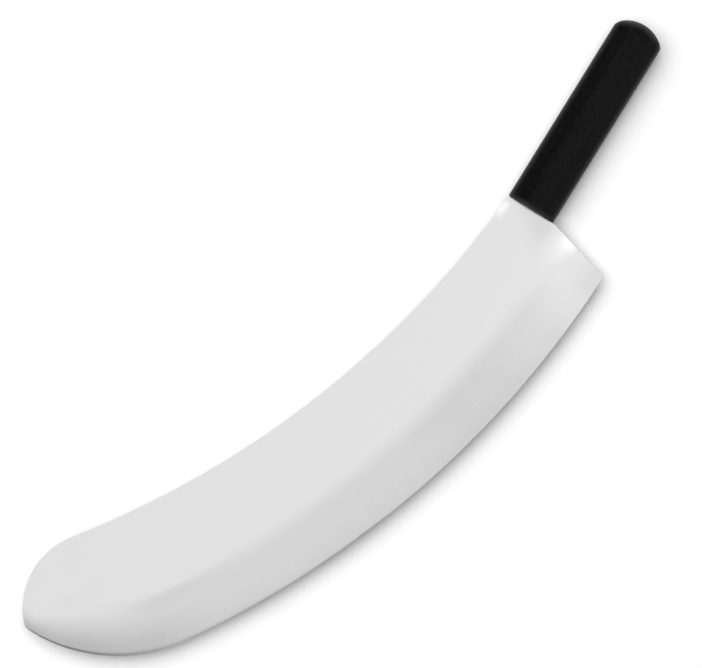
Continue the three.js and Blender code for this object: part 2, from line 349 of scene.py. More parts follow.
def circles_meet(centre_a, radius_a, centre_b, radius_b):
    """The point where two circles meet, on the side away from the handle."""
    apart = (centre_b - centre_a).length
    along = (apart ** 2 + radius_a ** 2 - radius_b ** 2) / (2 * apart)
    aside = math.sqrt(radius_a ** 2 - along ** 2)
    across = (centre_b - centre_a) / apart
    square = Vector((-across.y, across.x))
    foot = centre_a + across * along
    return min((foot + square * aside, foot - square * aside), key=lambda point: point.x)


def line_meets_circle(start, direction, centre, radius):
    """The point where a line from inside a circle leaves it."""
    offset = start - centre
    half = offset.dot(direction)
    distance = -half + math.sqrt(half ** 2 - offset.length_squared + radius ** 2)
    return start + direction * distance


NECK_TOP = Vector((0, HALF_WIDTH))
NECK_BOTTOM = Vector((0, -HALF_WIDTH - NECK_SHOULDER))
EDGE_CENTRE = Vector((0, EDGE_RADIUS - EDGE_DEPTH))
SPINE_CENTRE = NECK_TOP + Vector((math.sin(SPINE_RISE), math.cos(SPINE_RISE))) * SPINE_RADIUS

belly_x = BELLY_RADIUS - BLADE_REACH
belly_drop = math.sqrt((EDGE_RADIUS - BELLY_RADIUS) ** 2 - belly_x ** 2)
BELLY_CENTRE = Vector((belly_x, EDGE_CENTRE.y - belly_drop))

tip_x = TIP_SETBACK - BLADE_REACH
tip_drop = math.sqrt((SPINE_RADIUS + TIP_RADIUS) ** 2 - (tip_x - SPINE_CENTRE.x) ** 2)
TIP_CENTRE = Vector((tip_x, SPINE_CENTRE.y - tip_drop))

CORNER_CENTRE = circles_meet(
    BELLY_CENTRE, BELLY_RADIUS - TIP_CORNER_RADIUS, TIP_CENTRE, TIP_RADIUS - TIP_CORNER_RADIUS
)
HEEL_DIRECTION = Vector((-math.sin(HEEL_LEAN), -math.cos(HEEL_LEAN)))
HEEL_CORNER = line_meets_circle(NECK_BOTTOM, HEEL_DIRECTION, EDGE_CENTRE, EDGE_RADIUS)

HEEL_ANGLE = heading(EDGE_CENTRE, HEEL_CORNER)
BELLY_START = heading(EDGE_CENTRE, BELLY_CENTRE)
BELLY_END = turned_back(heading(BELLY_CENTRE, CORNER_CENTRE), BELLY_START)
CORNER_START = heading(BELLY_CENTRE, CORNER_CENTRE)
CORNER_END = turned_back(heading(TIP_CENTRE, CORNER_CENTRE), CORNER_START)
TIP_START = heading(TIP_CENTRE, SPINE_CENTRE)
EDGE_LENGTH = (HEEL_ANGLE - BELLY_START) * EDGE_RADIUS
BELLY_LENGTH = (BELLY_START - BELLY_END) * BELLY_RADIUS

# Each side of the blade is a chain of arcs: centre, radius, first and last angle.
EDGE_ARCS = [
    (EDGE_CENTRE, EDGE_RADIUS, HEEL_ANGLE, BELLY_START),
    (BELLY_CENTRE, BELLY_RADIUS, BELLY_START, BELLY_END),
]
SPINE_ARCS = [
    (SPINE_CENTRE, SPINE_RADIUS, heading(SPINE_CENTRE, NECK_TOP), heading(SPINE_CENTRE, TIP_CENTRE)),
    (TIP_CENTRE, TIP_RADIUS, TIP_START, CORNER_END),
]
TIP_ARCS = [(CORNER_CENTRE, TIP_CORNER_RADIUS, CORNER_START, CORNER_END)]


def along_arcs(arcs, share):
    """The point at a share of the length of a chain of arcs."""
    lengths = [radius * abs(end - start) for _, radius, start, end in arcs]
    left = share * sum(lengths)
    for (centre, radius, start, end), length in zip(arcs, lengths):
        if left <= length:
            return polar(centre, radius, blend(start, end, left / length))
        left -= length
    return polar(centre, radius, end)


def hone_share(along):
    """Share of the way from edge to spine that the honed edge takes up."""
    run = along * (EDGE_LENGTH + BELLY_LENGTH)
    widening = smooth_share(run, HONE_WIDENS_FROM, EDGE_LENGTH + HONE_WIDENS_PAST_BELLY)
    width = blend(HONE_WIDTH_AT_HEEL, HONE_WIDTH_ON_BELLY, widening)
    return width / (along_arcs(SPINE_ARCS, along) - along_arcs(EDGE_ARCS, along)).length


def row_place(row, along=0):
    """Share of the way from edge to spine where a row of cells starts: the first is the honed edge."""
    if row == 0:
        return 0
    return blend(hone_share(along), 1, (row - 1) / (ROWS_ACROSS - 1))


# The handle's end of the blade: up the heel, then up the neck, past the two sides of the tang.
NECK_STOPS = [
    (0, HEEL_CORNER),
    (row_place(ROWS_ON_HEEL), NECK_BOTTOM),
    (row_place(ROWS_ON_HEEL + ROWS_ON_COVER), Vector((0, -TANG_HALF))),
    (row_place(ROWS_ON_HEEL + ROWS_ON_COVER + ROWS_ON_TANG), Vector((0, TANG_HALF))),
    (1, NECK_TOP),
]


def heel_side(across):
    for (start, low), (end, high) in zip(NECK_STOPS, NECK_STOPS[1:]):
        if across <= end:
            break
    return blend(low, high, (across - start) / (end - start))


def blade_plan(along, across):
    """A point of the blade's plan, spread smoothly between its four sides."""
    edge_to_spine = blend(along_arcs(EDGE_ARCS, along), along_arcs(SPINE_ARCS, along), across)
    heel_to_tip = blend(heel_side(across), along_arcs(TIP_ARCS, across), along)
    near_corners = blend(HEEL_CORNER, along_arcs(EDGE_ARCS, 1), along)
    far_corners = blend(NECK_TOP, along_arcs(SPINE_ARCS, 1), along)
    return edge_to_spine + heel_to_tip - blend(near_corners, far_corners, across)


def is_beside_belly(point):
    outward = BELLY_CENTRE - EDGE_CENTRE
    offset = point - EDGE_CENTRE
    return outward.x * offset.y - outward.y * offset.x < 0


def edge_distance(point):
    if is_beside_belly(point):
        return BELLY_RADIUS - (point - BELLY_CENTRE).length
    return EDGE_RADIUS - (point - EDGE_CENTRE).length


def belly_turn(point):
    return BELLY_START - turned_back(heading(BELLY_CENTRE, point), BELLY_START)


def edge_run(point):
    """Length along the edge from the heel to the place nearest to a point."""
    if is_beside_belly(point):
        return EDGE_LENGTH + belly_turn(point) * BELLY_RADIUS
    return (HEEL_ANGLE - heading(EDGE_CENTRE, point)) * EDGE_RADIUS


def away_from_heel(point):
    """0 at the heel, 1 from the place on where the grind has its full width."""
    return smooth_share(edge_run(point), -GRIND_RUN_BEHIND_HEEL, GRIND_RUN_FROM_HEEL)


def grind_width(point):
    """Full in the middle of the edge, narrower at the heel and at the tip."""
    if is_beside_belly(point):
        turn_share = min(belly_turn(point) * BELLY_RADIUS / BELLY_LENGTH, 1)
        return blend(GRIND_WIDTH, GRIND_WIDTH_AT_TIP, turn_share ** 2)
    return blend(GRIND_WIDTH_AT_HEEL, GRIND_WIDTH, away_from_heel(point))


def grind_share(point):
    """0 at the cutting edge, 1 where the grind has run out into the flat."""
    return min(max(edge_distance(point), 0) / grind_width(point), 1)


def grind_ease_start(point):
    before_tip = blend(EASE_START_AT_HEEL, EASE_START, away_from_heel(point))
    past_belly = edge_run(point) - EDGE_LENGTH
    near_tip = smooth_share(past_belly, -SOFTENING_BEFORE_BELLY, SOFTENING_PAST_BELLY)
    return blend(before_tip, EASE_START_AT_TIP, near_tip)


def grind_rise(point):
    """Rise of the ground face from the edge, 0, to the flat, 1: one slope at first, then easing out."""
    ease_start = grind_ease_start(point)
    share = grind_share(point)
    eased = max(share - ease_start, 0) ** 2 / (2 * (1 - ease_start))
    return 2 / (1 + ease_start) * (share - eased)


def half_thickness(point):
    from_tip = smooth_share((point - CORNER_CENTRE).length, 0, TIP_TAPER_LENGTH)
    half_plate = blend(TIP_HALF_PLATE, HALF_PLATE, from_tip)
    past_belly = edge_run(point) - EDGE_LENGTH
    thinning = smooth_share(past_belly, -EDGE_THINS_BEFORE_BELLY, EDGE_THINS_PAST_BELLY)
    half_edge = blend(HALF_EDGE, HALF_EDGE_AT_TIP, thinning)
    return blend(half_edge, half_plate, grind_rise(point))


def heel_set(point):
    """How far the plate's middle is bent down, most of all at the heel below the handle's corner."""
    from_neck = point - NECK_BOTTOM
    down = from_neck.dot(HEEL_DIRECTION)
    inward = abs(from_neck.x * HEEL_DIRECTION.y - from_neck.y * HEEL_DIRECTION.x)
    drop = HEEL_SET_DROP * math.exp(-inward / HEEL_SET_REACH)
    return drop * smooth_share(down, HEEL_SET_START, HEEL_SET_END)


def spine_distance(point):
    return (point - SPINE_CENTRE).length - SPINE_RADIUS


def spine_highlight_share(point):
    """1 in the middle of the painted highlight at the spine, 0 outside it."""
    at_spine = 1 - smooth_share(spine_distance(point), SPINE_HIGHLIGHT_FULL_WIDTH, SPINE_HIGHLIGHT_WIDTH)
    starts = smooth_share(-point.x, SPINE_HIGHLIGHT_STARTS, SPINE_HIGHLIGHT_FULL_FROM)
    ends = 1 - smooth_share(-point.x, SPINE_HIGHLIGHT_FULL_UNTIL, SPINE_HIGHLIGHT_ENDS)
    return at_spine * min(starts, ends)


# Blade


def blade_face(bm):
    """The upper face of the plate without its tang: a unit grid that is spread over the plan."""
    grid = bmesh.ops.create_grid(bm, x_segments=CELLS_ALONG, y_segments=ROWS_ACROSS, size=0.5)
    for vert in grid["verts"]:
        row = round((vert.co.y + 0.5) * ROWS_ACROSS)
        along = 0.5 - vert.co.x
        plan = blade_plan(along, row_place(row, along))
        height = half_thickness(plan) if row else 0
        vert.co = (plan.x, plan.y, height)


def hole_centre(hole):
    """Middle of a hole of the tang, counted from the handle's front."""
    return Vector(((hole + 0.5) * HOLE_PITCH, 0, HALF_PLATE))


def from_hole(point):
    """A point's place beside the middle of the hole that is nearest to it."""
    return point - hole_centre(math.floor(point.x / HOLE_PITCH))


def is_at_hole(point):
    aside = from_hole(point)
    return abs(aside.x) < HOLE_CELLS * TANG_CELL_LENGTH and abs(aside.y) < HOLE_CELLS * TANG_CELL_WIDTH


def tang_face(bm):
    """The upper face of the tang: a unit grid drawn out to its size, with round holes and a round end."""
    cells = TANG_HOLE_COUNT * CELLS_PER_HOLE
    grid = bmesh.ops.create_grid(bm, x_segments=cells, y_segments=ROWS_ON_TANG, size=0.5)
    verts = grid["verts"]
    bmesh.ops.translate(bm, verts=verts, vec=(0.5, 0, 0))
    bmesh.ops.scale(bm, verts=verts, vec=(TANG_LENGTH, 2 * TANG_HALF, 1))
    bmesh.ops.translate(bm, verts=verts, vec=(0, 0, HALF_PLATE))
    faces = {face for vert in verts for face in vert.link_faces}
    punched = [face for face in faces if is_at_hole(face.calc_center_median())]
    bmesh.ops.delete(bm, geom=punched, context="FACES")
    rim = {vert for edge in bm.edges if edge.is_boundary for vert in edge.verts if vert.co.x > 0}
    for vert in rim:
        if is_at_hole(vert.co):
            round_hole_rim(vert)
        else:
            round_tang_end(vert)


def round_hole_rim(vert):
    """Pulls a point of a hole's rim onto the hole's circle."""
    aside = from_hole(vert.co)
    vert.co += aside.normalized() * TANG_HOLE_RADIUS - aside


def round_tang_end(vert):
    """Pulls a point at a corner of the tang's end onto the corner's round."""
    past_x = vert.co.x - (TANG_LENGTH - TANG_END_RADIUS)
    past_y = abs(vert.co.y) - (TANG_HALF - TANG_END_RADIUS)
    if past_x > 0 and past_y > 0:
        pull = max(past_x, past_y) / math.hypot(past_x, past_y)
        side = math.copysign(1, vert.co.y)
        vert.co.x = TANG_LENGTH - TANG_END_RADIUS + past_x * pull
        vert.co.y = side * (TANG_HALF - TANG_END_RADIUS + past_y * pull)


def close_plate(bm):
    """Mirrors the upper face downwards and closes the plate's spine, tip, heel and tang with walls."""
    bmesh.ops.remove_doubles(bm, verts=bm.verts, dist=WELD_DISTANCE)
    upper_face = bm.verts[:] + bm.edges[:] + bm.faces[:]
    bmesh.ops.mirror(bm, geom=upper_face, merge_dist=WELD_DISTANCE, axis="Z")
    rim = [edge for edge in bm.edges if edge.is_boundary]
    upper_rim = [edge for edge in rim if sum(vert.co.z for vert in edge.verts) > 0]
    wall = bmesh.ops.extrude_edge_only(bm, edges=upper_rim)
    for item in wall["geom"]:
        if isinstance(item, bmesh.types.BMVert):
            item.co.z = -item.co.z
    bmesh.ops.remove_doubles(bm, verts=bm.verts, dist=WELD_DISTANCE)
    bmesh.ops.recalc_face_normals(bm, faces=bm.faces)


def is_plate_corner(edge):
    """True before the handle where a broad face meets a wall and the plate isn't too thin to break it."""
    if len(edge.link_faces) != 2 or max(vert.co.x for vert in edge.verts) > -FIT_GAP:
        return False
    steeper, flatter = sorted(abs(face.normal.z) for face in edge.link_faces)
    half_thick = min(abs(vert.co.z) for vert in edge.verts)
    return steeper < math.cos(WALL_SLOPE) < flatter and half_thick > THINNEST_BROKEN_CORNER / 2


def break_corners(bm):
    corners = [edge for edge in bm.edges if is_plate_corner(edge)]
    bmesh.ops.bevel(
        bm, geom=corners, offset=PLATE_CORNER, offset_type="OFFSET", segments=PLATE_CORNER_STEPS,
        profile=0.5, affect="EDGES", clamp_overlap=True, material=-1,
    )


def bend_heel(bm):
    for vert in bm.verts:
        vert.co.z -= heel_set(vert.co.xy)


def mark_grind(bm):
    """Keeps on each vertex where it lies, so that the finish and its painted light can follow the edge
    and the spine.
    """
    ground = bm.verts.layers.float.new("ground")
    run = bm.verts.layers.float.new("edge_run")
    depth = bm.verts.layers.float.new("edge_depth")
    spine_run = bm.verts.layers.float.new("spine_run")
    spine_depth = bm.verts.layers.float.new("spine_depth")
    painted_spine_highlight = bm.verts.layers.float.new("painted_spine_highlight")
    for vert in bm.verts:
        plan = vert.co.xy
        vert[ground] = 1 - smooth_share(grind_share(plan), grind_ease_start(plan), 1)
        vert[run] = edge_run(plan)
        vert[depth] = edge_distance(plan)
        vert[spine_run] = heading(SPINE_CENTRE, plan) * SPINE_RADIUS
        vert[spine_depth] = spine_distance(plan)
        # Painted highlight at the spine close to the handle
        vert[painted_spine_highlight] = spine_highlight_share(plan)


def add_object(name, data):
    made = bpy.data.objects.new(name, data)
    bpy.context.scene.collection.objects.link(made)
    return made


def add_mesh_object(name, bm):
    mesh = bpy.data.meshes.new(name)
    bm.to_mesh(mesh)
    bm.free()
    return add_object(name, mesh)


def finish_piece(name, bm):
    """Moves a piece from the handle's front end to its place in the frame and makes it an object."""
    bmesh.ops.translate(bm, verts=bm.verts, vec=(NECK_X, 0, MIDDLE_Z))
    for face in bm.faces:
        face.smooth = True
    for edge in bm.edges:
        edge.smooth = edge.calc_face_angle(0) < SOFT_ANGLE
    return add_mesh_object(name, bm)


def make_blade():
    bm = bmesh.new()
    blade_face(bm)
    tang_face(bm)
    close_plate(bm)
    break_corners(bm)
    bend_heel(bm)
    mark_grind(bm)
    return finish_piece("ground_blade", bm)


# Handle


def arc_radius(half_chord, height):
    """Radius of the arc that rises by a height over half its chord."""
    return (half_chord ** 2 + height ** 2) / (2 * height)


SHOULDER_ASIDE = HALF_FLAT - (HALF_WIDTH - SIDE_RADIUS)
SHOULDER_DISTANCE = math.hypot(SHOULDER_ASIDE, HALF_GRIP)
SIDE_TURN = math.atan2(HALF_GRIP, SHOULDER_ASIDE) - math.acos(SIDE_RADIUS / SHOULDER_DISTANCE)
SHOULDER_TILT = math.pi / 2 - SIDE_TURN
BUTT_RADIUS = arc_radius(HALF_WIDTH, BUTT_CROWN)
EASE_RADIUS = arc_radius(BUTT_EASE_LENGTH, BUTT_EASE_DROP)
QUARTER_POINTS = POINTS_ON_FLAT + POINTS_ON_EDGE + POINTS_ON_SHOULDER + POINTS_ON_SIDE


def butt_drop(x):
    """How far a broad face has eased down at a distance from the handle's front."""
    past = max(x - (HANDLE_LENGTH - BUTT_EASE_LENGTH), 0)
    return EASE_RADIUS - math.sqrt(EASE_RADIUS ** 2 - min(past, BUTT_EASE_LENGTH) ** 2)


def edge_softness(x):
    return blend(SOFT_EDGE_RADIUS, CRISP_EDGE_RADIUS, smooth_share(x, SOFT_UNTIL, CRISP_FROM))


def quarter_section(index, x, inset):
    """A point of a quarter of the section, from the middle of the broad flat round to the narrow side."""
    drop = butt_drop(x)
    top = HALF_GRIP - drop - inset
    half_flat = HALF_FLAT + drop / math.tan(SHOULDER_TILT) - inset * math.tan(SHOULDER_TILT / 2)
    side = SIDE_RADIUS - inset
    reach = half_flat / math.tan(SHOULDER_TILT / 2)
    rounding = max(min(edge_softness(x) - inset, MOST_FLAT_ROUNDED * reach), LEAST_EDGE_RADIUS)
    flat_end = half_flat - rounding * math.tan(SHOULDER_TILT / 2)
    if index <= POINTS_ON_FLAT:
        return Vector((flat_end * index / POINTS_ON_FLAT, top))
    index -= POINTS_ON_FLAT
    centre = Vector((flat_end, top - rounding))
    if index <= POINTS_ON_EDGE:
        return polar(centre, rounding, math.pi / 2 - SHOULDER_TILT * index / POINTS_ON_EDGE)
    index -= POINTS_ON_EDGE
    side_centre = Vector((HALF_WIDTH - SIDE_RADIUS, 0))
    if index <= POINTS_ON_SHOULDER:
        start = polar(centre, rounding, SIDE_TURN)
        return blend(start, polar(side_centre, side, SIDE_TURN), index / POINTS_ON_SHOULDER)
    index -= POINTS_ON_SHOULDER
    turn = SIDE_TURN * (1 - index / POINTS_ON_SIDE)
    ridge = PARTING_RIDGE if index == POINTS_ON_SIDE else 0
    return polar(side_centre, side + ridge, turn)


def section_point(index, x, inset):
    """A point of the whole section, counted from the middle of the upper flat towards the spine."""
    quarter, place = divmod(index, QUARTER_POINTS)
    if quarter % 2:
        place = QUARTER_POINTS - place
    point = quarter_section(place, x, inset)
    upper = quarter in (0, 3)
    spine_side = quarter in (0, 1)
    return Vector((point.x if spine_side else -point.x, point.y if upper else -point.y))


def butt_reach(y, z):
    """Distance from the handle's front to the domed end, beside and above the handle's axis."""
    bulge = BUTT_BULGE_RADIUS - math.sqrt(BUTT_BULGE_RADIUS ** 2 - z ** 2)
    return HANDLE_LENGTH - BUTT_RADIUS + math.sqrt(BUTT_RADIUS ** 2 - y ** 2) - bulge


def butt_rim_radius(index):
    """Rounding of the butt's rim, tighter at the corner on the cutting edge's side."""
    beside = section_point(index, HANDLE_LENGTH - BUTT_CROWN, 0).x
    return blend(BUTT_RIM_RADIUS, BUTT_CORNER_RADIUS, smooth_share(-beside, HALF_FLAT, HALF_WIDTH))


def butt_ring_point(index, back, inset):
    """A point of a ring that lies a little back from the domed end and a little inside the section."""
    x = HANDLE_LENGTH - BUTT_CROWN
    for _ in range(BUTT_FIT_ROUNDS):
        section = section_point(index, x, inset)
        x = butt_reach(section.x, section.y) - back
    return Vector((x, section.x, section.y))


class RingPull:
    """Pulls the handle out ring by ring: each is extruded from the last one and put in its place."""

    def __init__(self, bm):
        self.bm = bm
        self.count = bm.verts.layers.int.new("section_point")
        circle = bmesh.ops.create_circle(bm, segments=4 * QUARTER_POINTS, radius=HALF_WIDTH)
        self.ring = circle["verts"]
        for number, vert in enumerate(self.ring):
            vert[self.count] = number
        self.first = self.ring

    def place(self, position):
        for vert in self.ring:
            vert.co = position(vert[self.count])

    def pull(self, position):
        members = set(self.ring)
        touching = dict.fromkeys(edge for vert in self.ring for edge in vert.link_edges)
        edges = [edge for edge in touching if members.issuperset(edge.verts)]
        made = bmesh.ops.extrude_edge_only(self.bm, edges=edges)
        self.ring = [item for item in made["geom"] if isinstance(item, bmesh.types.BMVert)]
        self.place(position)

    def close(self):
        centre = sum((vert.co for vert in self.ring), Vector()) / len(self.ring)
        bmesh.ops.pointmerge(self.bm, verts=self.ring, merge_co=centre)


def body_point(share):
    """Places a ring between the front rim and the butt rim."""
    def position(index):
        last = butt_ring_point(index, butt_rim_radius(index), 0).x
        x = blend(FRONT_RIM_RADIUS, last, share)
        section = section_point(index, x, 0)
        return Vector((x, section.x, section.y))
    return position


def butt_rim_point(turn):
    """Places a ring on the rounded rim of the butt."""
    def position(index):
        radius = butt_rim_radius(index)
        return butt_ring_point(index, radius * (1 - math.sin(turn)), radius * (1 - math.cos(turn)))
    return position


def butt_cap_point(share):
    """Places a ring on the domed end, inside its rim."""
    def position(index):
        rim = butt_ring_point(index, 0, butt_rim_radius(index))
        y = rim.y * share
        z = rim.z * share
        return Vector((butt_reach(y, z), y, z))
    return position


def front_rim_point(turn):
    """Places a ring on the rounded rim of the handle's front."""
    inset = FRONT_RIM_RADIUS * (1 - math.cos(turn))
    back = FRONT_RIM_RADIUS * (1 - math.sin(turn))

    def position(index):
        section = section_point(index, 0, inset)
        return Vector((back, section.x, section.y))
    return position


def slot_point(depth):
    """Places a ring on the outline of the tang's slot."""
    touch = polar(Vector((HALF_WIDTH - SIDE_RADIUS, 0)), SIDE_RADIUS, SIDE_TURN)

    def position(index):
        section = section_point(index, 0, 0)
        y = (TANG_HALF + FIT_GAP) * min(max(section.x / touch.x, -1), 1)
        z = (HALF_PLATE + FIT_GAP) * min(max(section.y / touch.y, -1), 1)
        return Vector((depth, y, z))
    return position


def pull_handle(bm):
    """From the front rim along the body to the butt, then from the front rim inwards and down the slot.

    The first ring lies where the front rim meets the body, so both pulls start from it.
    """
    rings = RingPull(bm)
    rings.place(body_point(0))
    for ring in range(1, BODY_RINGS + 1):
        rings.pull(body_point(ring / BODY_RINGS))
    for ring in range(1, RIM_RINGS + 1):
        rings.pull(butt_rim_point(math.pi / 2 * ring / RIM_RINGS))
    for ring in range(1, CAP_RINGS):
        rings.pull(butt_cap_point(1 - ring / CAP_RINGS))
    rings.close()
    rings.ring = rings.first
    for ring in range(1, RIM_RINGS + 1):
        rings.pull(front_rim_point(math.pi / 2 * ring / RIM_RINGS))
    rings.pull(slot_point(0))
    rings.pull(slot_point(TANG_LENGTH + FIT_GAP))
    rings.close()


def add_keys(bm):
    """The plastic that fills the tang's holes and locks the handle on it, let into the slot's walls."""
    radius = TANG_HOLE_RADIUS - FIT_GAP
    half_slot = HALF_PLATE + FIT_GAP
    for hole in range(TANG_HOLE_COUNT):
        place = Matrix.Translation((hole_centre(hole).x, 0, 0))
        bmesh.ops.create_cone(
            bm, cap_ends=True, segments=KEY_SIDES, radius1=radius, radius2=radius,
            depth=2 * (half_slot + FIT_GAP), matrix=place,
        )


def mark_wear_and_highlight(bm):
    """Keeps on each vertex its wear and painted highlight: most at the end rims, a little on the narrow
    sides.
    """
    wear_and_highlight = bm.verts.layers.float.new("wear_and_highlight")
    for vert in bm.verts:
        x, y, z = vert.co
        at_front = 1 - smooth_share(x, 0, WEAR_AND_HIGHLIGHT_FRONT)
        at_butt = 1 - smooth_share(butt_reach(y, z) - x, 0, WEAR_AND_HIGHLIGHT_BUTT)
        at_side = WEAR_AND_HIGHLIGHT_SIDE_SHARE * smooth_share(abs(y), HALF_WIDTH - WEAR_AND_HIGHLIGHT_SIDE, HALF_WIDTH)
        vert[wear_and_highlight] = max(at_front, at_butt, at_side)


def make_handle():
    bm = bmesh.new()
    pull_handle(bm)
    bmesh.ops.recalc_face_normals(bm, faces=bm.faces)
    mark_wear_and_highlight(bm)
    add_keys(bm)
    return finish_piece("moulded_handle", bm)


# Finishes


def add_node(tree, kind, inputs=None, **settings):
    """A node with its settings, and with each input set to a value or linked from an output."""
    node = tree.nodes.new(kind)
    for name, value in settings.items():
        setattr(node, name, value)
    for key, value in (inputs or {}).items():
        if isinstance(value, bpy.types.NodeSocket):
            tree.links.new(value, node.inputs[key])
        else:
            node.inputs[key].default_value = value
    return node


def maths(tree, operation, *values):
    return add_node(tree, "ShaderNodeMath", dict(enumerate(values)), operation=operation).outputs[0]


def mix(tree, share, low, high):
    inputs = {0: share, 2: low, 3: high}
    return add_node(tree, "ShaderNodeMix", inputs, data_type="FLOAT").outputs[0]


def ramp(tree, value, start, end, low, high):
    """A smooth change from low to high while a value goes from start to end."""
    inputs = {"Value": value, 1: start, 2: end, 3: low, 4: high}
    return add_node(tree, "ShaderNodeMapRange", inputs, interpolation_type="SMOOTHSTEP").outputs[0]


def attribute(tree, name):
    return add_node(tree, "ShaderNodeAttribute", attribute_name=name).outputs["Fac"]


def noise(tree, vector, scale, steps, kept=SOFT_NOISE):
    inputs = {"Vector": vector, "Scale": scale, "Detail": steps, "Roughness": kept}
    return add_node(tree, "ShaderNodeTexNoise", inputs).outputs["Fac"]


def grey(tree, value):
    return add_node(tree, "ShaderNodeCombineColor", {0: value, 1: value, 2: value}).outputs[0]


def scaled(tree, value, *factors):
    """A value multiplied by each factor in turn."""
    for factor in factors:
        value = maths(tree, "MULTIPLY", value, factor)
    return value


def band(tree, value, starts, full_from, full_until, ends):
    """1 in the middle of a band of values and 0 outside it."""
    rise = ramp(tree, value, starts, full_from, 0.0, 1.0)
    fall = ramp(tree, value, full_until, ends, 1.0, 0.0)
    return scaled(tree, rise, fall)


def streaks(tree, along, across, length, width):
    """Noise drawn out into fine lines of a length and a width, along one attribute and across another."""
    lengthwise = maths(tree, "DIVIDE", attribute(tree, along), length)
    crosswise = maths(tree, "DIVIDE", attribute(tree, across), width)
    stretched = add_node(tree, "ShaderNodeCombineXYZ", {0: lengthwise, 1: crosswise}).outputs[0]
    return noise(tree, stretched, 1.0, LINE_STEPS, CRISP_NOISE)


def relief(tree, height, strength, depth):
    inputs = {"Strength": strength, "Distance": depth, "Height": height}
    return add_node(tree, "ShaderNodeBump", inputs).outputs[0]


def new_finish(name):
    material = bpy.data.materials.new(name)
    material.use_nodes = True
    material.node_tree.nodes.clear()
    return material, material.node_tree


def show_surface(tree, shader):
    add_node(tree, "ShaderNodeOutputMaterial", {"Surface": shader.outputs[0]})


def grind_tone(tree, grind_lines):
    """Tone of the grind, with painted shade and painted highlight along the edge and at the heel."""
    depth = attribute(tree, "edge_depth")
    run = attribute(tree, "edge_run")
    tone = ramp(tree, grind_lines, *NOISE_RANGE, *GRIND_TONE)
    # Painted shade, darkest at the cutting edge
    tone = scaled(tree, tone, ramp(tree, depth, 0.0, GRIND_EDGE_SHADE_REACH, GRIND_EDGE_PAINTED_SHADE, 1.0))
    # Painted shade and painted highlight, stretch by stretch along the edge
    for start, full, gain in GRIND_PAINTED_LIGHT_ALONG_EDGE:
        tone = scaled(tree, tone, ramp(tree, run, start, full, 1.0, gain))
    # Painted shade and painted highlight at the heel
    near_heel = ramp(tree, run, *HEEL_PAINTED_LIGHT_FADES, 1.0, 0.0)
    heel_painted_light = ramp(tree, depth, *HEEL_PAINTED_LIGHT_DEPTHS, *HEEL_PAINTED_SHADE_AND_HIGHLIGHT)
    return scaled(tree, tone, mix(tree, near_heel, 1.0, heel_painted_light))


def grind_border_painted_shade(tree):
    """Share of the tone left by the painted shade where the grind meets the flat."""
    across = band(tree, attribute(tree, "edge_depth"), *GRIND_BORDER_SHADE_DEPTHS)
    along = band(tree, attribute(tree, "edge_run"), *GRIND_BORDER_SHADE_RUNS)
    return mix(tree, scaled(tree, across, along), 1.0, GRIND_BORDER_PAINTED_SHADE)


def painted_shade_by_handle(tree, place):
    """Share of the tone left by the painted shade on the flat before the handle."""
    spread = add_node(tree, "ShaderNodeSeparateXYZ", {0: place}).outputs
    reach = ramp(tree, spread["Y"], *HANDLE_SHADE_NARROWS, *HANDLE_SHADE_REACH)
    from_handle = maths(tree, "DIVIDE", maths(tree, "SUBTRACT", NECK_X, spread["X"]), reach)
    shade_by_handle = scaled(
        tree,
        ramp(tree, from_handle, 0.0, 1.0, 1.0, 0.0),
        ramp(tree, spread["Y"], *HANDLE_SHADE_FADES, 1.0, HANDLE_SHADE_SHARE_AT_SPINE),
        ramp(tree, spread["Y"], *HANDLE_SHADE_STARTS, 0.0, 1.0),
    )
    return mix(tree, shade_by_handle, 1.0, HANDLE_PAINTED_SHADE)


def satin_steel():
    """Rolled and brushed flats, and a coarser grind whose lines run square to the edge."""
    material, tree = new_finish("satin_ground_steel")
    place = add_node(tree, "ShaderNodeTexCoord").outputs["Object"]
    ground = attribute(tree, "ground")
    brush_lines = streaks(tree, "spine_run", "spine_depth", BRUSH_LINE_LENGTH, BRUSH_LINE_WIDTH)
    grind_lines = streaks(tree, "edge_depth", "edge_run", GRIND_LINE_LENGTH, GRIND_LINE_WIDTH)
    fully_ground = ramp(tree, ground, GRIND_LINES_START, GRIND_LINES_FULL, 0.0, 1.0)
    grind_lines = mix(tree, fully_ground, NOISE_MIDDLE, grind_lines)
    cloud = noise(tree, place, STEEL_CLOUDS_PER_METRE, CLOUD_STEPS)
    hardly_ground = ramp(tree, ground, 0.0, FLAT_CLOUDS_END, 1.0, 0.0)
    cloud = mix(tree, hardly_ground, NOISE_MIDDLE, cloud)

    flat_roughness = ramp(tree, cloud, *NOISE_RANGE, *FLAT_ROUGHNESS)
    grind_roughness = ramp(tree, grind_lines, *NOISE_RANGE, *GRIND_ROUGHNESS)
    roughness = mix(tree, ground, flat_roughness, grind_roughness)
    flat_tone = ramp(tree, brush_lines, *NOISE_RANGE, *FLAT_TONE)
    # The grind's tone carries painted shade and painted highlight along the edge and at the heel
    tone = mix(tree, ground, flat_tone, grind_tone(tree, grind_lines))
    # Painted shade where the grind meets the flat, and painted shade on the flat before the handle
    tone = scaled(tree, tone, grind_border_painted_shade(tree), painted_shade_by_handle(tree, place))
    # Painted highlight at the spine close to the handle
    tone = mix(tree, attribute(tree, "painted_spine_highlight"), tone, SPINE_HIGHLIGHT_TONE)
    lines = mix(tree, ground, brush_lines, grind_lines)
    inputs = {
        "Base Color": grey(tree, tone),
        "Metallic": 1.0,
        "Roughness": roughness,
        "Normal": relief(tree, lines, STEEL_LINE_STRENGTH, STEEL_LINE_DEPTH),
    }
    show_surface(tree, add_node(tree, "ShaderNodeBsdfPrincipled", inputs))
    return material


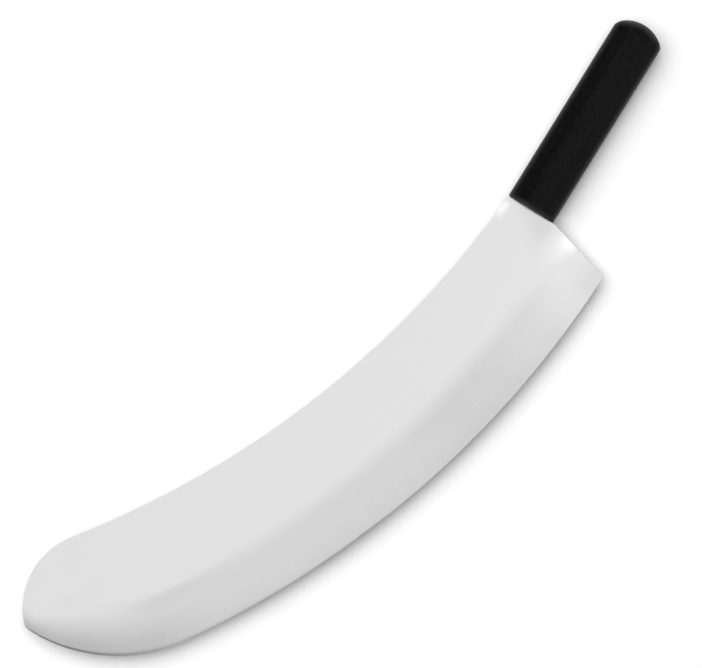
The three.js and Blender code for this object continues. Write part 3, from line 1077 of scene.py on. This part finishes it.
def black_plastic():
    """Black moulded plastic with a fine matt grain, a faint mottle, and wear and a painted highlight at
    its rims.
    """
    material, tree = new_finish("matt_black_plastic")
    place = add_node(tree, "ShaderNodeTexCoord").outputs["Object"]
    grain = noise(tree, place, GRAINS_PER_METRE, GRAIN_STEPS)
    cloud = noise(tree, place, PLASTIC_CLOUDS_PER_METRE, CLOUD_STEPS)
    mottle = noise(tree, place, MOTTLES_PER_METRE, MOTTLE_STEPS, CRISP_NOISE)
    # Paler rims in patches: wear with a painted highlight
    wear_and_highlight = scaled(tree, attribute(tree, "wear_and_highlight"), ramp(tree, cloud, *PATCHY_RANGE, *WEAR_AND_HIGHLIGHT_PATCHES))
    tone = mix(tree, wear_and_highlight, ramp(tree, mottle, *PATCHY_RANGE, *PLASTIC_TONE), WEAR_AND_HIGHLIGHT_TONE)
    roughness = mix(tree, wear_and_highlight, ramp(tree, cloud, *NOISE_RANGE, *PLASTIC_ROUGHNESS), WORN_ROUGHNESS)
    inputs = {
        "Base Color": grey(tree, tone),
        "Roughness": roughness,
        "Specular IOR Level": PLASTIC_SHINE,
        "Normal": relief(tree, grain, GRAIN_STRENGTH, GRAIN_DEPTH),
    }
    show_surface(tree, add_node(tree, "ShaderNodeBsdfPrincipled", inputs))
    return material


# Table, light and camera

UP = Vector((0, 0, 1))
PHOTO_RIGHT = Vector((math.cos(PHOTO_TURN), math.sin(PHOTO_TURN), 0))
PHOTO_UP = Vector((-math.sin(PHOTO_TURN), math.cos(PHOTO_TURN), 0))
PHOTO_CENTRE = Vector((NECK_X - PHOTO_BEFORE_HANDLE, PHOTO_BESIDE_AXIS, MIDDLE_Z))


def picture_direction(bearing, lean=math.pi / 2):
    """The direction at a bearing in the picture and a lean from straight up, level unless said."""
    level = PHOTO_RIGHT * math.cos(bearing) + PHOTO_UP * math.sin(bearing)
    return level * math.sin(lean) + UP * math.cos(lean)


def make_table():
    """A wide level white table top under the handle's lower flat."""
    bm = bmesh.new()
    bmesh.ops.create_grid(bm, x_segments=2, y_segments=2, size=TABLE_HALF)
    bmesh.ops.translate(bm, verts=bm.verts, vec=(0, 0, HANDLE_LOW.z))
    table = add_mesh_object("table_top", bm)
    material, tree = new_finish("white_table")
    colour = (TABLE_TONE, TABLE_TONE, TABLE_TONE, 1)
    show_surface(tree, add_node(tree, "ShaderNodeBsdfDiffuse", {"Color": colour}))
    table.data.materials.append(material)
    return table


def make_lamp():
    """A wide soft lamp, up and to the left of the picture, that nothing mirrors."""
    lamp = bpy.data.lights.new("soft_lamp", "SUN")
    lamp.energy = LAMP_STRENGTH
    lamp.angle = LAMP_SPREAD
    holder = add_object("soft_lamp", lamp)
    holder.rotation_euler = picture_direction(LAMP_BEARING, LAMP_LEAN).to_track_quat("Z", "Y").to_euler()
    holder.visible_glossy = False


def towards(tree, axis):
    """Cosine of the angle between an axis and the direction in which the room is seen."""
    inputs = {0: add_node(tree, "ShaderNodeTexCoord").outputs["Generated"], 1: axis}
    return add_node(tree, "ShaderNodeVectorMath", inputs, operation="DOT_PRODUCT").outputs["Value"]


def by_angle(tree, axis, angles, far, near):
    """A change from the far value to the near one between two angles from an axis."""
    begins, full = angles
    return ramp(tree, towards(tree, axis), math.cos(begins), math.cos(full), far, near)


def low_wall_light(tree):
    """Pale panels low around the room, darker on the spine's side, that the steel's walls mirror."""
    bearing = maths(tree, "ARCTAN2", towards(tree, (0, 1, 0)), towards(tree, (1, 0, 0)))
    begins, full = LOW_WALL_ANGLES
    walls = ramp(tree, maths(tree, "SINE", bearing), math.cos(begins), math.cos(full), *LOW_WALL_LIGHT)
    panels = maths(tree, "SINE", maths(tree, "MULTIPLY", bearing, LOW_WALL_PANELS))
    walls = scaled(tree, walls, ramp(tree, panels, -1.0, 1.0, *PANEL_LIGHT))
    return by_angle(tree, UP, HORIZON_ANGLES, walls, 0.0)


def mirrored_light(tree):
    """A soft ceiling over grey walls, with a dark side, a window and a white card."""
    walls = by_angle(tree, picture_direction(WALL_BEARING), WALL_ANGLES, *WALL_LIGHT)
    light = mix(tree, by_angle(tree, UP, CEILING_ANGLES, 0.0, 1.0), walls, CEILING_LIGHT)
    dark_side = picture_direction(DARK_SIDE_BEARING)
    light = scaled(tree, light, by_angle(tree, dark_side, DARK_SIDE_ANGLES, 1.0, DARK_SIDE_SHARE))
    window = picture_direction(WINDOW_BEARING, WINDOW_LEAN)
    light = maths(tree, "ADD", light, by_angle(tree, window, WINDOW_ANGLES, 0.0, WINDOW_LIGHT))
    card = picture_direction(CARD_BEARING)
    light = maths(tree, "ADD", light, by_angle(tree, card, CARD_ANGLES, 0.0, CARD_LIGHT))
    return maths(tree, "MAXIMUM", light, low_wall_light(tree))


def white_light(tree, strength):
    inputs = {"Color": (1, 1, 1, 1), "Strength": strength}
    return add_node(tree, "ShaderNodeBackground", inputs).outputs[0]


def make_room():
    """White to the camera, an even fill for matt surfaces, and the lights that the metal mirrors."""
    world = bpy.data.worlds.new("white_room")
    bpy.context.scene.world = world
    world.use_nodes = True
    tree = world.node_tree
    tree.nodes.clear()
    path = add_node(tree, "ShaderNodeLightPath").outputs
    fill = white_light(tree, FILL_STRENGTH)
    mirrored = white_light(tree, mirrored_light(tree))
    backdrop = white_light(tree, BACKDROP_STRENGTH)
    lit = add_node(tree, "ShaderNodeMixShader", {0: path["Is Glossy Ray"], 1: fill, 2: mirrored})
    seen = maths(tree, "MAXIMUM", path["Is Camera Ray"], path["Is Transmission Ray"])
    shown = add_node(tree, "ShaderNodeMixShader", {0: seen, 1: lit.outputs[0], 2: backdrop})
    add_node(tree, "ShaderNodeOutputWorld", {"Surface": shown.outputs[0]})


def make_camera():
    """Straight above the knife, turned so that the handle points to the upper right."""
    camera = bpy.data.cameras.new("overhead_camera")
    camera.sensor_width = SENSOR_WIDTH
    camera.sensor_fit = "HORIZONTAL"
    camera.lens = SENSOR_WIDTH * CAMERA_DISTANCE / PHOTO_WIDTH
    holder = add_object("overhead_camera", camera)
    holder.location = PHOTO_CENTRE + UP * CAMERA_DISTANCE
    holder.rotation_euler = (0, 0, PHOTO_TURN)
    bpy.context.scene.camera = holder


make_camera()
make_lamp()
make_room()
table_top = make_table()

ground_blade = make_blade()
ground_blade.data.materials.append(satin_steel())
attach(ground_blade, "root")
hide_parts("blade")

moulded_handle = make_handle()
moulded_handle.data.materials.append(black_plastic())
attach(moulded_handle, "root")
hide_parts("handle")

bpy.context.scene.view_settings.view_transform = "Standard"
